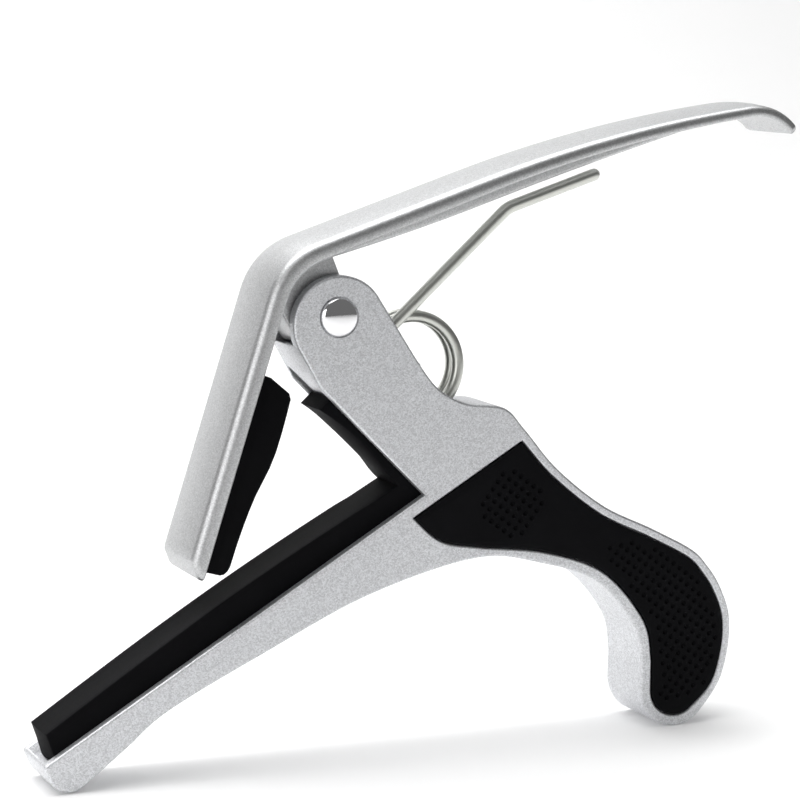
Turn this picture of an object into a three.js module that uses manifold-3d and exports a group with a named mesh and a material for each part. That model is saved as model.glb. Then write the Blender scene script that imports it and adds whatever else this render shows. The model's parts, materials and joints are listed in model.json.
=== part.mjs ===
// A trigger capo for a guitar neck, in millimetres, with +Z up.
// The frame carries the fixed jaw and the lower handle. A lever with the moving jaw and the
// upper handle turns on a rivet between the frame's two ears, against a torsion spring.
// Outlines are drawn in X and Z about the pivot, and -Y is the front. At the end the whole
// capo is moved so that its origin is the bottom centre of its box.
import * as THREE from "three";
import { mergeVertices } from "three/addons/utils/BufferGeometryUtils.js";
import Module from "manifold-3d";

const wasm = await Module();
wasm.setup();

// ---- Driving dimensions ----

// Clearances
const runningGap = 0.25; // round a pin in its hole
const seatGap = 0.3; // between pieces that are glued, pressed or rest on each other
const sideGap = 0.35; // on each side of what moves between the ears
const bendGap = 0.48; // between the ears and the inside of the lever's bend

// Frame
const frameThickness = 12;
const earRadius = 7.4;
const earCentre = new THREE.Vector2(0.2, -1.2);
const innerCorner = new THREE.Vector2(14, -27.9); // where the fixed jaw meets the arm
const jawLength = 71;
const jawSlope = 30.8; // degrees below level, from the corner to the tip
const jawTipRadius = 3.3;
const armSlope = 44.4; // degrees above level, from the corner to the ears
const webTop = -4.2; // top of the wall that closes the slot on the jaw's side
const webRight = 4.8; // that wall's inner face, left of the pivot
const hookCentre = new THREE.Vector2(57.6, -62.1);
const hookRadius = 6.2;

// Channel that holds the fretboard pad
const channelWall = 1.5;
const channelDepth = 1.2;
const endWall = 1.2;

// Rivet
const pinDiameter = 4.4;
const headOverhang = 0.7; // of the head beyond the pin, all round
const headDiameter = pinDiameter + 2 * headOverhang;
const headHeight = 1.1;
const countersink = 0.4;

// Lever
const leverWidth = 14.5;
const leverThickness = 3.2;
const leverTipThickness = 1.9;
const leverEdge = 0.7; // bevel along the bar's long edges
const bendRadius = earRadius + earCentre.length() + bendGap; // inside, about the pivot
const jawAngle = 72; // degrees between level and the moving jaw
const movingJawLength = 43;
const jawEndBevel = 2.2;
const handleSlope = 18; // degrees above level where the handle leaves the bend
const handleStraight = 29;
const archRadius = 235;
const tipSlope = 6.7;
const curlRadius = 10;
const curlEndSlope = -52;
const ribDepth = 2.1; // of the stiffening rib under the handle, at its deepest
const ribDeepest = 32; // distance along the handle to that place
const ribReach = 38; // from there to the rib's end
const lugRadius = 5.4; // the lug's round end, about the pivot
const heelReach = 6.8; // the lug's heel, which rests over the web when the jaws are closed

// Torsion spring
const wireDiameter = 1.9;
const coilCentre = new THREE.Vector2(13.9, -8.5);
const coilRadius = 7.5; // at the middle of the wire
const coilGap = 0.5; // between turns
const springSideGap = 0.3; // between the coil and each ear
const fullTurns = 2;
const upperLegSlope = 42;
const endRunSlope = handleSlope - 0.2;
const endRunLength = 16.4;
const endRunUnder = 30; // distance along the handle where the end run's gap is set
const endRunGap = 1.04; // between the wire and the rib there
const legBendRadius = 5;
const lowerLegSlope = -35;
const lowerLegLength = 15;

// Rubber pads and grips
const padHeight = 3.3; // of the fretboard pad above the jaw's walls
const padArch = 0.7; // how much higher it is halfway along
const shortPadHeight = 1.6; // of its short leg above the arm's walls
const shortPadLength = 21.4;
const padSetback = 2.1; // from the jaw's tip to the pad's end, at the bottom of the channel
const padEndLean = 1.7; // how much shorter its top is
const neckPadWidth = 8.4;
const neckPadGroove = 0.6;
const neckPadStart = 11.4;
const neckPadEnd = 42;
const neckPadThick = 6.5;
const neckPadThin = 4.8;
const gripRim = 1.7; // metal left round each grip
const gripUnderRim = 0.4; // more of it along the underside
const gripDepth = 1.2;
const gripProud = 0.3;
const gripTip = new THREE.Vector2(12.6, -31.4);
const gripCorner = new THREE.Vector2(30.2, -21.0);

// Facets
const curveSteps = 18;
const roundSegments = 32;
const wireSides = 10;

// ---- Materials ----

const castSilver = new THREE.MeshStandardMaterial({ color: 0xa9aaab, roughness: 0.5, metalness: 0.9 });
const satinSilver = new THREE.MeshStandardMaterial({ color: 0xb9babb, roughness: 0.35, metalness: 0.9 });
const chrome = new THREE.MeshStandardMaterial({ color: 0xe4e4e6, roughness: 0.06, metalness: 1 });
const springSteel = new THREE.MeshStandardMaterial({ color: 0xb4b6ae, roughness: 0.22, metalness: 1 });
const padRubber = new THREE.MeshStandardMaterial({ color: 0x0b0b0c, roughness: 0.6, metalness: 0 });
const gripRubber = new THREE.MeshStandardMaterial({ color: 0x101011, roughness: 0.7, metalness: 0 });

// ---- Helpers ----

const rad = THREE.MathUtils.degToRad;
const pivot = new THREE.Vector2(0, 0);

// A unit vector at an angle in degrees, anticlockwise from +X.
function heading(angle) {
  return new THREE.Vector2(Math.cos(rad(angle)), Math.sin(rad(angle)));
}

function polar(centre, radius, angle) {
  return heading(angle).multiplyScalar(radius).add(centre);
}

// A point at a distance along a heading from a start, and another to the left of it.
function along(start, angle, distance, left = 0) {
  return polar(polar(start, distance, angle), left, angle + 90);
}

// Where two lines meet, each given by a point and a heading in degrees.
function meet(a, angleA, b, angleB) {
  const u = heading(angleA);
  const v = heading(angleB);
  const gap = b.clone().sub(a);
  return a.clone().addScaledVector(u, gap.cross(v) / u.cross(v));
}

function solidOf(geometry) {
  const bare = geometry.clone();
  bare.deleteAttribute("normal");
  bare.deleteAttribute("uv");
  const merged = mergeVertices(bare, 1e-4);
  return new wasm.Manifold(
    new wasm.Mesh({
      numProp: 3,
      vertProperties: new Float32Array(merged.attributes.position.array),
      triVerts: new Uint32Array(merged.index.array),
    }),
  );
}

function geometryOf(solid) {
  const mesh = solid.getMesh();
  const geometry = new THREE.BufferGeometry();
  geometry.setAttribute("position", new THREE.BufferAttribute(mesh.vertProperties, 3));
  geometry.setIndex(new THREE.BufferAttribute(mesh.triVerts, 1));
  geometry.computeVertexNormals();
  return geometry;
}

// An outline in X and Z, given thickness from one Y to another.
function slab(shape, fromY, toY) {
  const geometry = new THREE.ExtrudeGeometry(shape, {
    depth: toY - fromY,
    bevelEnabled: false,
    curveSegments: curveSteps,
  });
  return geometry.rotateX(Math.PI / 2).translate(0, toY, 0);
}

// The same, centred on Y = 0.
function centredSlab(shape, width) {
  return slab(shape, -width / 2, width / 2);
}

// A slab whose long edges are bevelled within its outline.
function bevelledSlab(shape, width, bevel) {
  const geometry = new THREE.ExtrudeGeometry(shape, {
    depth: width - 2 * bevel,
    bevelEnabled: true,
    bevelThickness: bevel,
    bevelSize: bevel,
    bevelOffset: -bevel,
    bevelSegments: 2,
    curveSegments: curveSteps,
  });
  return geometry.rotateX(Math.PI / 2).translate(0, width / 2 - bevel, 0);
}

// A straight round bar or bore along Y.
function roundBar(centre, radius, length) {
  return new THREE.CylinderGeometry(radius, radius, length, roundSegments).translate(centre.x, 0, centre.y);
}

function disc(centre, radius) {
  return new THREE.Shape().absarc(centre.x, centre.y, radius, 0, 2 * Math.PI);
}

function piece(name, geometry, material) {
  const mesh = new THREE.Mesh(geometry, material);
  mesh.name = name;
  return mesh;
}

// ---- Layout of the frame ----

const jawHeading = 180 + jawSlope;
const armHeading = 180 - armSlope;
const coilStart = upperLegSlope + 90; // angle of the coil's end that meets the upper leg
const coilSweep = 360 * fullTurns + (lowerLegSlope - 90 + 360 - coilStart);
const coilSpan = ((wireDiameter + coilGap) * coilSweep) / 360; // between the ends' centres
const slotWidth = coilSpan + wireDiameter + 2 * springSideGap; // between the ears
const channelWidth = frameThickness - 2 * channelWall;

// On the fixed jaw: distance from the inner corner, and depth below the jaw's top edge.
function onJaw(distance, depth) {
  return along(innerCorner, jawHeading, distance, depth);
}

// On the arm: distance from the inner corner, and how far proud of the arm's edge.
function onArm(distance, proud) {
  return along(innerCorner, armHeading, distance, proud);
}

// On the lower handle: a point given from the centre of the hook's round end.
function fromHook(x, z) {
  return new THREE.Vector2(hookCentre.x + x, hookCentre.y + z);
}

// Underside of the lower handle, from the crest of its arch down to the hook.
const handleUnder = [
  new THREE.Vector2(22.6, -38.3),
  new THREE.Vector2(33.9, -40),
  new THREE.Vector2(43.6, -43.8),
  fromHook(-7.4, 10.6),
  fromHook(-6.1, 4.4),
];

// Its outer side, from the hook back up to the shoulder.
const handleOver = [
  fromHook(6.9, -1.4),
  fromHook(8.6, 1.7),
  fromHook(9.7, 6.7),
  fromHook(9.6, 11.4),
  fromHook(7.9, 15.9),
  fromHook(5.6, 19.35),
  fromHook(2.6, 22.3),
  new THREE.Vector2(53, -35.9),
  new THREE.Vector2(44.5, -31.7),
  new THREE.Vector2(36.4, -25.3),
];

// Points moved sideways from a run of points, to the left of the run's direction.
function inset(points, distance) {
  return points.map((point, i) => {
    const before = points[Math.max(i - 1, 0)];
    const after = points[Math.min(i + 1, points.length - 1)];
    const angle = THREE.MathUtils.radToDeg(after.clone().sub(before).angle());
    return along(point, angle, 0, distance);
  });
}

function frameOutline() {
  const tipCentre = onJaw(jawLength - jawTipRadius - 0.25, jawTipRadius - 0.5);
  const earRight = polar(earCentre, earRadius, 31);
  const armBreak = onArm(24.4, -0.5);
  const shape = new THREE.Shape();
  shape.moveTo(innerCorner.x, innerCorner.y);
  shape.lineTo(onJaw(jawLength - 0.6, 0).x, onJaw(jawLength - 0.6, 0).y);
  shape.absarc(tipCentre.x, tipCentre.y, jawTipRadius, rad(jawHeading - 8), rad(jawHeading + 80));
  shape.splineThru([
    onJaw(jawLength - 5, 5.95),
    onJaw(jawLength - 12.4, 5.1),
    onJaw(jawLength - 20.5, 4.2),
    onJaw(jawLength - 37, 5.6),
    onJaw(15.4, 7.9),
    ...handleUnder,
  ]);
  shape.absarc(hookCentre.x, hookCentre.y, hookRadius, rad(180), rad(315));
  shape.splineThru([
    ...handleOver,
    new THREE.Vector2(30.8, -18.8),
    new THREE.Vector2(27.2, -15.2),
    new THREE.Vector2(20.8, -14.1),
    new THREE.Vector2(16.1, -11.5),
    new THREE.Vector2(12.5, -6.8),
  ]);
  shape.lineTo(earRight.x, earRight.y);
  shape.absarc(earCentre.x, earCentre.y, earRadius, rad(31), rad(216));
  shape.lineTo(armBreak.x, armBreak.y);
  shape.closePath();
  return shape;
}

// The grip's outline. A larger rim makes it smaller on all sides.
function gripOutline(rim) {
  const growth = gripRim - rim;
  const frontAngle = THREE.MathUtils.radToDeg(gripCorner.clone().sub(gripTip).angle());
  const tip = along(gripTip, frontAngle, -growth, growth);
  const corner = along(gripCorner, frontAngle, growth, growth);
  const underRim = rim + gripUnderRim;
  const shape = new THREE.Shape();
  shape.moveTo(tip.x, tip.y);
  shape.splineThru([
    new THREE.Vector2(gripTip.x + 4, gripTip.y - 3.4 - growth),
    ...inset(handleUnder, underRim),
  ]);
  shape.absarc(hookCentre.x, hookCentre.y, hookRadius - underRim, rad(180), rad(300));
  shape.splineThru([...inset(handleOver, rim), corner]);
  shape.closePath();
  return shape;
}

// ---- Frame ----

const legLineStart = polar(coilCentre, coilRadius, lowerLegSlope - 90);

// The space between the ears: round the lug, round the coil, and along the spring's lower leg.
function slotSolid() {
  const lugRoom = disc(pivot, heelReach + 2 * seatGap);
  const coilRoom = disc(coilCentre, coilRadius + wireDiameter / 2 + 2 * seatGap);
  const far = 3 * earRadius;
  const above = new THREE.Shape();
  above.moveTo(-far, webTop);
  above.lineTo(0, webTop);
  above.lineTo(coilCentre.x, coilCentre.y);
  above.lineTo(coilCentre.x + far, coilCentre.y);
  above.lineTo(coilCentre.x + far, far);
  above.lineTo(-far, far);
  above.closePath();
  const legRoom = new THREE.Shape();
  const reach = lowerLegLength + 2 * seatGap;
  const halfRoom = wireDiameter / 2 + seatGap;
  const corners = [
    along(legLineStart, lowerLegSlope, 0, -halfRoom),
    along(legLineStart, lowerLegSlope, reach, -halfRoom),
    along(legLineStart, lowerLegSlope, reach, halfRoom),
    along(legLineStart, lowerLegSlope, 0, halfRoom),
  ];
  legRoom.setFromPoints(corners);
  // Below the web's top the lug's room stops at the web on the jaw's side.
  const web = new THREE.Shape();
  web.setFromPoints([
    new THREE.Vector2(-far, webTop),
    new THREE.Vector2(-far, -far),
    new THREE.Vector2(-webRight, -far),
    new THREE.Vector2(-webRight, webTop),
  ]);
  return solidOf(centredSlab(lugRoom, slotWidth))
    .subtract(solidOf(centredSlab(web, slotWidth + 2)))
    .add(solidOf(centredSlab(coilRoom, slotWidth)))
    .add(solidOf(centredSlab(above, slotWidth)))
    .add(solidOf(centredSlab(legRoom, slotWidth)));
}

// The L-shaped channel for the fretboard pad, closed at the jaw's tip and open at the ears.
function channelSolid() {
  const over = 6;
  const floorCorner = meet(onJaw(0, channelDepth), jawHeading, onArm(0, -channelDepth), armHeading);
  const shape = new THREE.Shape();
  const armEnd = onArm(40, 0);
  shape.setFromPoints([
    floorCorner,
    along(armEnd, armHeading, 0, -channelDepth),
    along(armEnd, armHeading, 0, over),
    meet(onJaw(0, -over), jawHeading, onArm(0, over), armHeading),
    onJaw(jawLength - endWall, -over),
    onJaw(jawLength - endWall, channelDepth),
  ]);
  return solidOf(centredSlab(shape, channelWidth));
}

function frameGeometry() {
  const half = frameThickness / 2;
  const seat = gripOutline(gripRim - seatGap);
  const seatDepth = gripDepth + seatGap;
  const bore = pinDiameter / 2 + runningGap;
  const rim = headDiameter / 2 + runningGap;
  let solid = solidOf(centredSlab(frameOutline(), frameThickness));
  solid = solid.subtract(slotSolid());
  solid = solid.subtract(channelSolid());
  solid = solid.subtract(solidOf(slab(seat, -half - 1, -half + seatDepth)));
  solid = solid.subtract(solidOf(slab(seat, half - seatDepth, half + 1)));
  solid = solid.subtract(solidOf(roundBar(pivot, bore, frameThickness + 2)));
  for (const side of [-1, 1]) {
    const sink = roundBar(pivot, rim, 2 * countersink).translate(0, side * half, 0);
    solid = solid.subtract(solidOf(sink));
  }
  return geometryOf(solid);
}

// ---- Lever ----

const movingJawHeading = 180 + jawAngle;
const bendStart = 90 + jawAngle;
const bendEnd = 90 + handleSlope;

// On the moving jaw: distance down from the bend, and how far proud of its inner face.
function onMovingJaw(distance, proud) {
  return along(polar(pivot, bendRadius, bendStart), movingJawHeading, distance, proud);
}

// Stations along the handle's outer face from the bend to the tip. Each has a point, its
// heading and the distance run.
function handleStations() {
  const stations = [];
  const arches = [
    { length: handleStraight, from: handleSlope, to: handleSlope, steps: 4 },
    { length: archRadius * rad(handleSlope - tipSlope), from: handleSlope, to: tipSlope, steps: 8 },
    { length: curlRadius * rad(tipSlope - curlEndSlope), from: tipSlope, to: curlEndSlope, steps: 7 },
  ];
  let point = polar(pivot, bendRadius + leverThickness, bendEnd);
  let run = 0;
  stations.push({ point, angle: handleSlope, run });
  for (const arch of arches) {
    const step = arch.length / arch.steps;
    for (let i = 0; i < arch.steps; i++) {
      const middle = THREE.MathUtils.lerp(arch.from, arch.to, (i + 0.5) / arch.steps);
      point = along(point, middle, step);
      run += step;
      stations.push({ point, angle: THREE.MathUtils.lerp(arch.from, arch.to, (i + 1) / arch.steps), run });
    }
  }
  return stations;
}

const handle = handleStations();
const handleRun = handle.at(-1).run;

function plateThickness(run) {
  return THREE.MathUtils.lerp(leverThickness, leverTipThickness, run / handleRun);
}

function ribAt(run) {
  return ribDepth * (1 - ((run - ribDeepest) / ribReach) ** 2);
}

function leverOutline() {
  const outerEnd = onMovingJaw(movingJawLength - jawEndBevel, -leverThickness);
  const bevelEnd = onMovingJaw(movingJawLength, -leverThickness + jawEndBevel);
  const innerEnd = onMovingJaw(movingJawLength, 0);
  const shape = new THREE.Shape();
  shape.moveTo(outerEnd.x, outerEnd.y);
  shape.lineTo(bevelEnd.x, bevelEnd.y);
  shape.lineTo(innerEnd.x, innerEnd.y);
  shape.absarc(0, 0, bendRadius, rad(bendStart), rad(bendEnd), true);
  for (const { point, angle, run } of handle.slice(1)) {
    const under = along(point, angle, 0, -plateThickness(run));
    shape.lineTo(under.x, under.y);
  }
  for (const { point } of handle.slice(1).reverse()) {
    shape.lineTo(point.x, point.y);
  }
  shape.absarc(0, 0, bendRadius + leverThickness, rad(bendEnd), rad(bendStart));
  shape.closePath();
  return shape;
}

// The rib hangs under the handle and starts inside the bar.
function ribOutline() {
  const ribbed = handle.filter(({ run }) => run < ribDeepest + ribReach);
  const sunk = leverThickness / 2;
  const inside = ribbed.map(({ point, angle }) => along(point, angle, 0, -sunk));
  const under = ribbed.map(({ point, angle, run }) =>
    along(point, angle, 0, -plateThickness(run) - ribAt(run)),
  );
  const shape = new THREE.Shape();
  shape.setFromPoints([...under, ...inside.reverse()]);
  return shape;
}

// The lug drops from the bend, between the ears, and goes round the rivet.
function lugOutline() {
  const heelHeight = -webTop - seatGap;
  const sunk = bendRadius + leverThickness / 2;
  const heel = new THREE.Vector2(-Math.sqrt(heelReach ** 2 - heelHeight ** 2), -heelHeight);
  const leftFlank = polar(pivot, bendRadius, bendStart + 6);
  const rightFlank = polar(pivot, bendRadius, bendEnd - 17);
  const shape = new THREE.Shape();
  shape.moveTo(leftFlank.x, leftFlank.y);
  shape.lineTo(heel.x, heel.y);
  shape.absarc(0, 0, lugRadius, rad(225), rad(360 + 75));
  shape.lineTo(rightFlank.x, rightFlank.y);
  shape.absarc(0, 0, sunk, rad(bendEnd - 14), rad(bendStart + 3));
  shape.closePath();
  return shape;
}

const lugWidth = slotWidth - 2 * sideGap;

function leverGeometry() {
  const groove = new THREE.Shape();
  groove.setFromPoints([
    onMovingJaw(neckPadStart - seatGap, -neckPadGroove),
    onMovingJaw(movingJawLength + 2, -neckPadGroove),
    onMovingJaw(movingJawLength + 2, 2),
    onMovingJaw(neckPadStart - seatGap, 2),
  ]);
  const bore = pinDiameter / 2 + runningGap;
  let solid = solidOf(bevelledSlab(leverOutline(), leverWidth, leverEdge));
  solid = solid.add(solidOf(centredSlab(ribOutline(), lugWidth)));
  solid = solid.add(solidOf(centredSlab(lugOutline(), lugWidth)));
  solid = solid.subtract(solidOf(centredSlab(groove, neckPadWidth + 2 * seatGap)));
  solid = solid.subtract(solidOf(roundBar(pivot, bore, leverWidth)));
  return geometryOf(solid);
}

// ---- Rivet: a domed head at the front and a flatter formed head at the back ----

function rivetGeometry() {
  const half = frameThickness / 2;
  const seat = half - countersink + seatGap / 2;
  const headRadius = headDiameter / 2;
  const crown = headHeight + countersink - seatGap / 2;
  const steps = 6;
  const profile = [];
  for (let i = 0; i <= steps; i++) {
    const angle = (i / steps) * (Math.PI / 2);
    profile.push(new THREE.Vector2(headRadius * Math.sin(angle), seat + crown * Math.cos(angle)));
  }
  profile.push(new THREE.Vector2(pinDiameter / 2, seat));
  profile.push(new THREE.Vector2(pinDiameter / 2, -seat));
  for (let i = steps; i >= 0; i--) {
    const angle = (i / steps) * (Math.PI / 2);
    profile.push(new THREE.Vector2(headRadius * Math.sin(angle), -seat - 0.6 * crown * Math.cos(angle)));
  }
  profile.reverse();
  // Turned about its own axis, which then points out of the front.
  return new THREE.LatheGeometry(profile, roundSegments).rotateX(Math.PI);
}

// ---- Torsion spring ----

function wireAlong(points, stepsPerPoint) {
  const section = disc(pivot, wireDiameter / 2);
  const path = new THREE.CatmullRomCurve3(points, false, "centripetal");
  const geometry = new THREE.ExtrudeGeometry(section, {
    steps: Math.round((points.length - 1) * stepsPerPoint),
    curveSegments: wireSides,
    bevelEnabled: false,
    extrudePath: path,
  });
  return geometry;
}

function at(point, y) {
  return new THREE.Vector3(point.x, y, point.y);
}

// Coil and lower leg. The coil winds from the front to the back of the slot.
function coilPoints() {
  const points = [];
  const turnSteps = 45;
  const first = 2; // leaves the gap to the upper leg
  for (let i = 0; i <= turnSteps; i++) {
    const share = i / turnSteps;
    const angle = coilStart + first + share * (coilSweep - first);
    points.push(at(polar(coilCentre, coilRadius, angle), coilSpan * (share - 0.5)));
  }
  for (const distance of [3, 6, 9, 12, lowerLegLength]) {
    points.push(at(along(legLineStart, lowerLegSlope, distance), coilSpan / 2));
  }
  return points;
}

// Upper leg: straight off the coil, a bend, and an end run under the handle.
function legPoints() {
  const root = polar(coilCentre, coilRadius, coilStart);
  const over = handle.find(({ run }) => run > endRunUnder);
  const ribDown = plateThickness(over.run) + ribAt(over.run);
  const under = along(over.point, over.angle, 0, -ribDown - endRunGap - wireDiameter / 2);
  const bendSize = legBendRadius * Math.tan(rad((upperLegSlope - endRunSlope) / 2));
  const bend = meet(root, upperLegSlope, under, endRunSlope);
  const upperLegLength = bend.distanceTo(root);
  const bendSteps = 4;
  const flat = [];
  for (const share of [0, 0.25, 0.5, 0.75]) {
    flat.push(along(root, upperLegSlope, seatGap + share * (upperLegLength - bendSize - seatGap)));
  }
  const intoBend = along(bend, upperLegSlope, -bendSize);
  const bendCentre = along(intoBend, upperLegSlope, 0, -legBendRadius);
  for (let i = 0; i <= bendSteps; i++) {
    const angle = THREE.MathUtils.lerp(upperLegSlope, endRunSlope, i / bendSteps) + 90;
    flat.push(polar(bendCentre, legBendRadius, angle));
  }
  for (const share of [0.33, 0.67, 1]) {
    flat.push(along(bend, endRunSlope, bendSize + share * (endRunLength - bendSize)));
  }
  return flat.map((point) => at(point, -coilSpan / 2));
}

// ---- Rubber pads and grips ----

// An L that lines the fixed jaw and the arm.
function fretboardPadOutline() {
  const sunk = channelDepth - seatGap;
  const padEnd = jawLength - padSetback;
  const inner = meet(onJaw(0, -padHeight), jawHeading, onArm(0, shortPadHeight), armHeading);
  const innerAt = inner.clone().sub(innerCorner).dot(heading(jawHeading));
  const archSteps = 8;
  const shape = new THREE.Shape();
  const points = [
    meet(onJaw(0, sunk), jawHeading, onArm(0, -sunk), armHeading),
    onArm(shortPadLength, -sunk),
    onArm(shortPadLength, shortPadHeight),
  ];
  for (let i = 0; i <= archSteps; i++) {
    const share = i / archSteps;
    const height = padHeight + padArch * Math.sin(Math.PI * share);
    points.push(onJaw(THREE.MathUtils.lerp(innerAt, padEnd - padEndLean, share), -height));
  }
  points.push(onJaw(padEnd, sunk));
  shape.setFromPoints(points);
  return shape;
}

function neckPadOutline() {
  const sunk = seatGap - neckPadGroove;
  const shape = new THREE.Shape();
  shape.setFromPoints([
    onMovingJaw(neckPadStart, sunk),
    onMovingJaw(neckPadEnd, sunk),
    onMovingJaw(neckPadEnd - 0.4, neckPadThin - 0.6),
    onMovingJaw(neckPadEnd - 1.4, neckPadThin),
    onMovingJaw(34, neckPadThin + 0.2),
    onMovingJaw(29, neckPadThin + 0.7),
    onMovingJaw(22, neckPadThick + 0.2),
    onMovingJaw(neckPadStart + 2, neckPadThick),
    onMovingJaw(neckPadStart + 0.4, 3.2),
    onMovingJaw(neckPadStart, 2),
  ]);
  return shape;
}

function gripGeometry(side) {
  const outer = frameThickness / 2 + gripProud;
  const inner = frameThickness / 2 - gripDepth;
  const shape = gripOutline(gripRim);
  return side < 0 ? slab(shape, -outer, -inner) : slab(shape, inner, outer);
}

// ---- Assembly ----

const frameGroup = new THREE.Group();
frameGroup.add(
  piece("frame", frameGeometry(), castSilver),
  piece("pivot_rivet", rivetGeometry(), chrome),
  piece("spring_coil", wireAlong(coilPoints(), 1.2), springSteel),
  piece("fretboard_pad", centredSlab(fretboardPadOutline(), channelWidth - 2 * seatGap), padRubber),
  piece("grip_front", gripGeometry(-1), gripRubber),
  piece("grip_back", gripGeometry(1), gripRubber),
);

const leverGroup = new THREE.Group();
leverGroup.add(
  piece("lever", leverGeometry(), satinSilver),
  piece("neck_pad", centredSlab(neckPadOutline(), neckPadWidth), padRubber),
);

const springLegGroup = new THREE.Group();
springLegGroup.add(piece("spring_leg", wireAlong(legPoints(), 2), springSteel));

const capo = new THREE.Group();
capo.add(frameGroup, leverGroup, springLegGroup);

// The origin goes to the bottom centre of the capo's box.
const box = new THREE.Box3().setFromObject(capo);
capo.position.set(-(box.min.x + box.max.x) / 2, 0, -box.min.z);

export default capo;
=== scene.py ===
# %% [markdown]
# # A trigger capo for a guitar
#
# A capo of this kind has four metal pieces and four rubber ones. A cast aluminium frame
# carries the fixed jaw, which lies over the strings, and a hooked lower handle. A cast lever
# carries the moving jaw, which presses on the back of the neck, and the upper handle. The two
# turn on one rivet, and a torsion spring between them keeps the jaws shut.
#
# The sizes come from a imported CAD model, which is loaded first. Blender adds what CAD leaves
# out: small round edges, a crowned lever, soft rubber, dimpled grips and real finishes.
# Lengths below are in millimetres about the rivet, with X and Z in the capo's middle plane,
# and each piece is written in metres in the CAD model's own frame.

# %% Load the CAD model
import json
import math

import bmesh
import bpy
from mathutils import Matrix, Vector


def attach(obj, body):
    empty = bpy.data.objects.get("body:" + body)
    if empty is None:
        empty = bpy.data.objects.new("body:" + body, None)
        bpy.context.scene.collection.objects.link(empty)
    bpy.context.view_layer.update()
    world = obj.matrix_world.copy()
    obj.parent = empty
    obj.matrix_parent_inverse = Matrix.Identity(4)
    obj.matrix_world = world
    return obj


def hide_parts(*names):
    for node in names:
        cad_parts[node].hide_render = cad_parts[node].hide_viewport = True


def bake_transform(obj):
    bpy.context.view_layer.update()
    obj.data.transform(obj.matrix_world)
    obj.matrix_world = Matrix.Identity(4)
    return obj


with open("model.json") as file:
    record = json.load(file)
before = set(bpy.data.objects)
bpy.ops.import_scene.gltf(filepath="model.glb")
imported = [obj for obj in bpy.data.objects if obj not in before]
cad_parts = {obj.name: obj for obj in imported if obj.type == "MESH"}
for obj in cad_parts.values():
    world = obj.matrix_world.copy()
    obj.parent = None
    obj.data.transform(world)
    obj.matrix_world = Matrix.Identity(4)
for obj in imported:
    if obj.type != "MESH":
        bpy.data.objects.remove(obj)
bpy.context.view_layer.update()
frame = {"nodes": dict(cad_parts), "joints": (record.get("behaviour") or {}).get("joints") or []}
joints = {joint["name"]: joint for joint in frame["joints"]}
PIVOT = Vector(joints["lever_hinge"]["pos_m"])
COIL = Vector(joints["spring_wind"]["pos_m"])
MM = 0.001
print("nodes", sorted(frame["nodes"]))
print("pivot at", [round(x / MM, 2) for x in PIVOT], "mm")

# %% [markdown]
# ## Drawing in the middle plane
#
# Every piece of the capo is a flat outline with thickness, or a section that runs along a
# line, so a few helpers are enough. `along` walks from a point in a direction and then steps
# to its left, the way that one would set out a drawing with a ruler and a square. `solid`
# stacks rings of points into a closed skin, which covers rounded slabs, swept bars and turned
# heads alike.

# %% Points and rings


def heading(angle):
    return Vector((math.cos(math.radians(angle)), math.sin(math.radians(angle))))


def along(start, angle, distance, left=0.0):
    return Vector(start) + heading(angle) * distance + heading(angle + 90) * left


def in_frame(x, y, z):
    return PIVOT + Vector((x, y, z)) * MM


def lerp(a, b, share):
    return a + (b - a) * share


print("ten millimetres along 30 degrees:", [round(x, 2) for x in along((0, 0), 30, 10)])


def solid(name, rings, material, smooth=35):
    """A closed skin through rings of the same number of points, capped at both ends."""
    mesh = bpy.data.meshes.new(name)
    count = len(rings[0])
    points = [in_frame(*point) for ring in rings for point in ring]
    faces = [list(range(count))[::-1], [len(points) - count + i for i in range(count)]]
    for r in range(len(rings) - 1):
        for i in range(count):
            j = (i + 1) % count
            faces.append([r * count + i, r * count + j, (r + 1) * count + j, (r + 1) * count + i])
    mesh.from_pydata(points, [], faces)
    return finish_mesh(name, mesh, material, smooth)


def finish_mesh(name, mesh, material, smooth):
    """Turns the faces outwards, smooths the shading up to an angle and makes the object."""
    made = bmesh.new()
    made.from_mesh(mesh)
    bmesh.ops.remove_doubles(made, verts=made.verts, dist=1e-7)
    bmesh.ops.recalc_face_normals(made, faces=made.faces)
    made.to_mesh(mesh)
    made.free()
    mesh.shade_smooth()
    mesh.set_sharp_from_angle(angle=math.radians(smooth))
    mesh.materials.clear()
    mesh.materials.append(material)
    piece = bpy.data.objects.new(name, mesh)
    bpy.context.scene.collection.objects.link(piece)
    return piece


# %% [markdown]
# ## Outlines with round edges
#
# A moulded or cast part never has a knife edge. `rounded_slab` shrinks an outline a little at
# each step while it moves towards the side face, along a quarter circle, so that the edge
# becomes a small round. The corner points move along the bisector of their two edges, which
# keeps the round the same width all the way.

# %% Rounded slabs


def inset(outline, distance):
    """The outline moved inwards by a distance. The outline runs anticlockwise."""
    moved = []
    for i, point in enumerate(outline):
        before = (point - outline[i - 1]).normalized()
        after = (outline[(i + 1) % len(outline)] - point).normalized()
        bisector = Vector((-before.y - after.y, before.x + after.x)).normalized()
        cosine = max(bisector.dot(Vector((-before.y, before.x))), 0.4)
        moved.append(point + bisector * distance / cosine)
    return moved


def area_of(outline):
    return sum(a.cross(b) for a, b in zip(outline, outline[1:] + outline[:1])) / 2


def anticlockwise(outline):
    return outline if area_of(outline) > 0 else outline[::-1]


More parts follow.
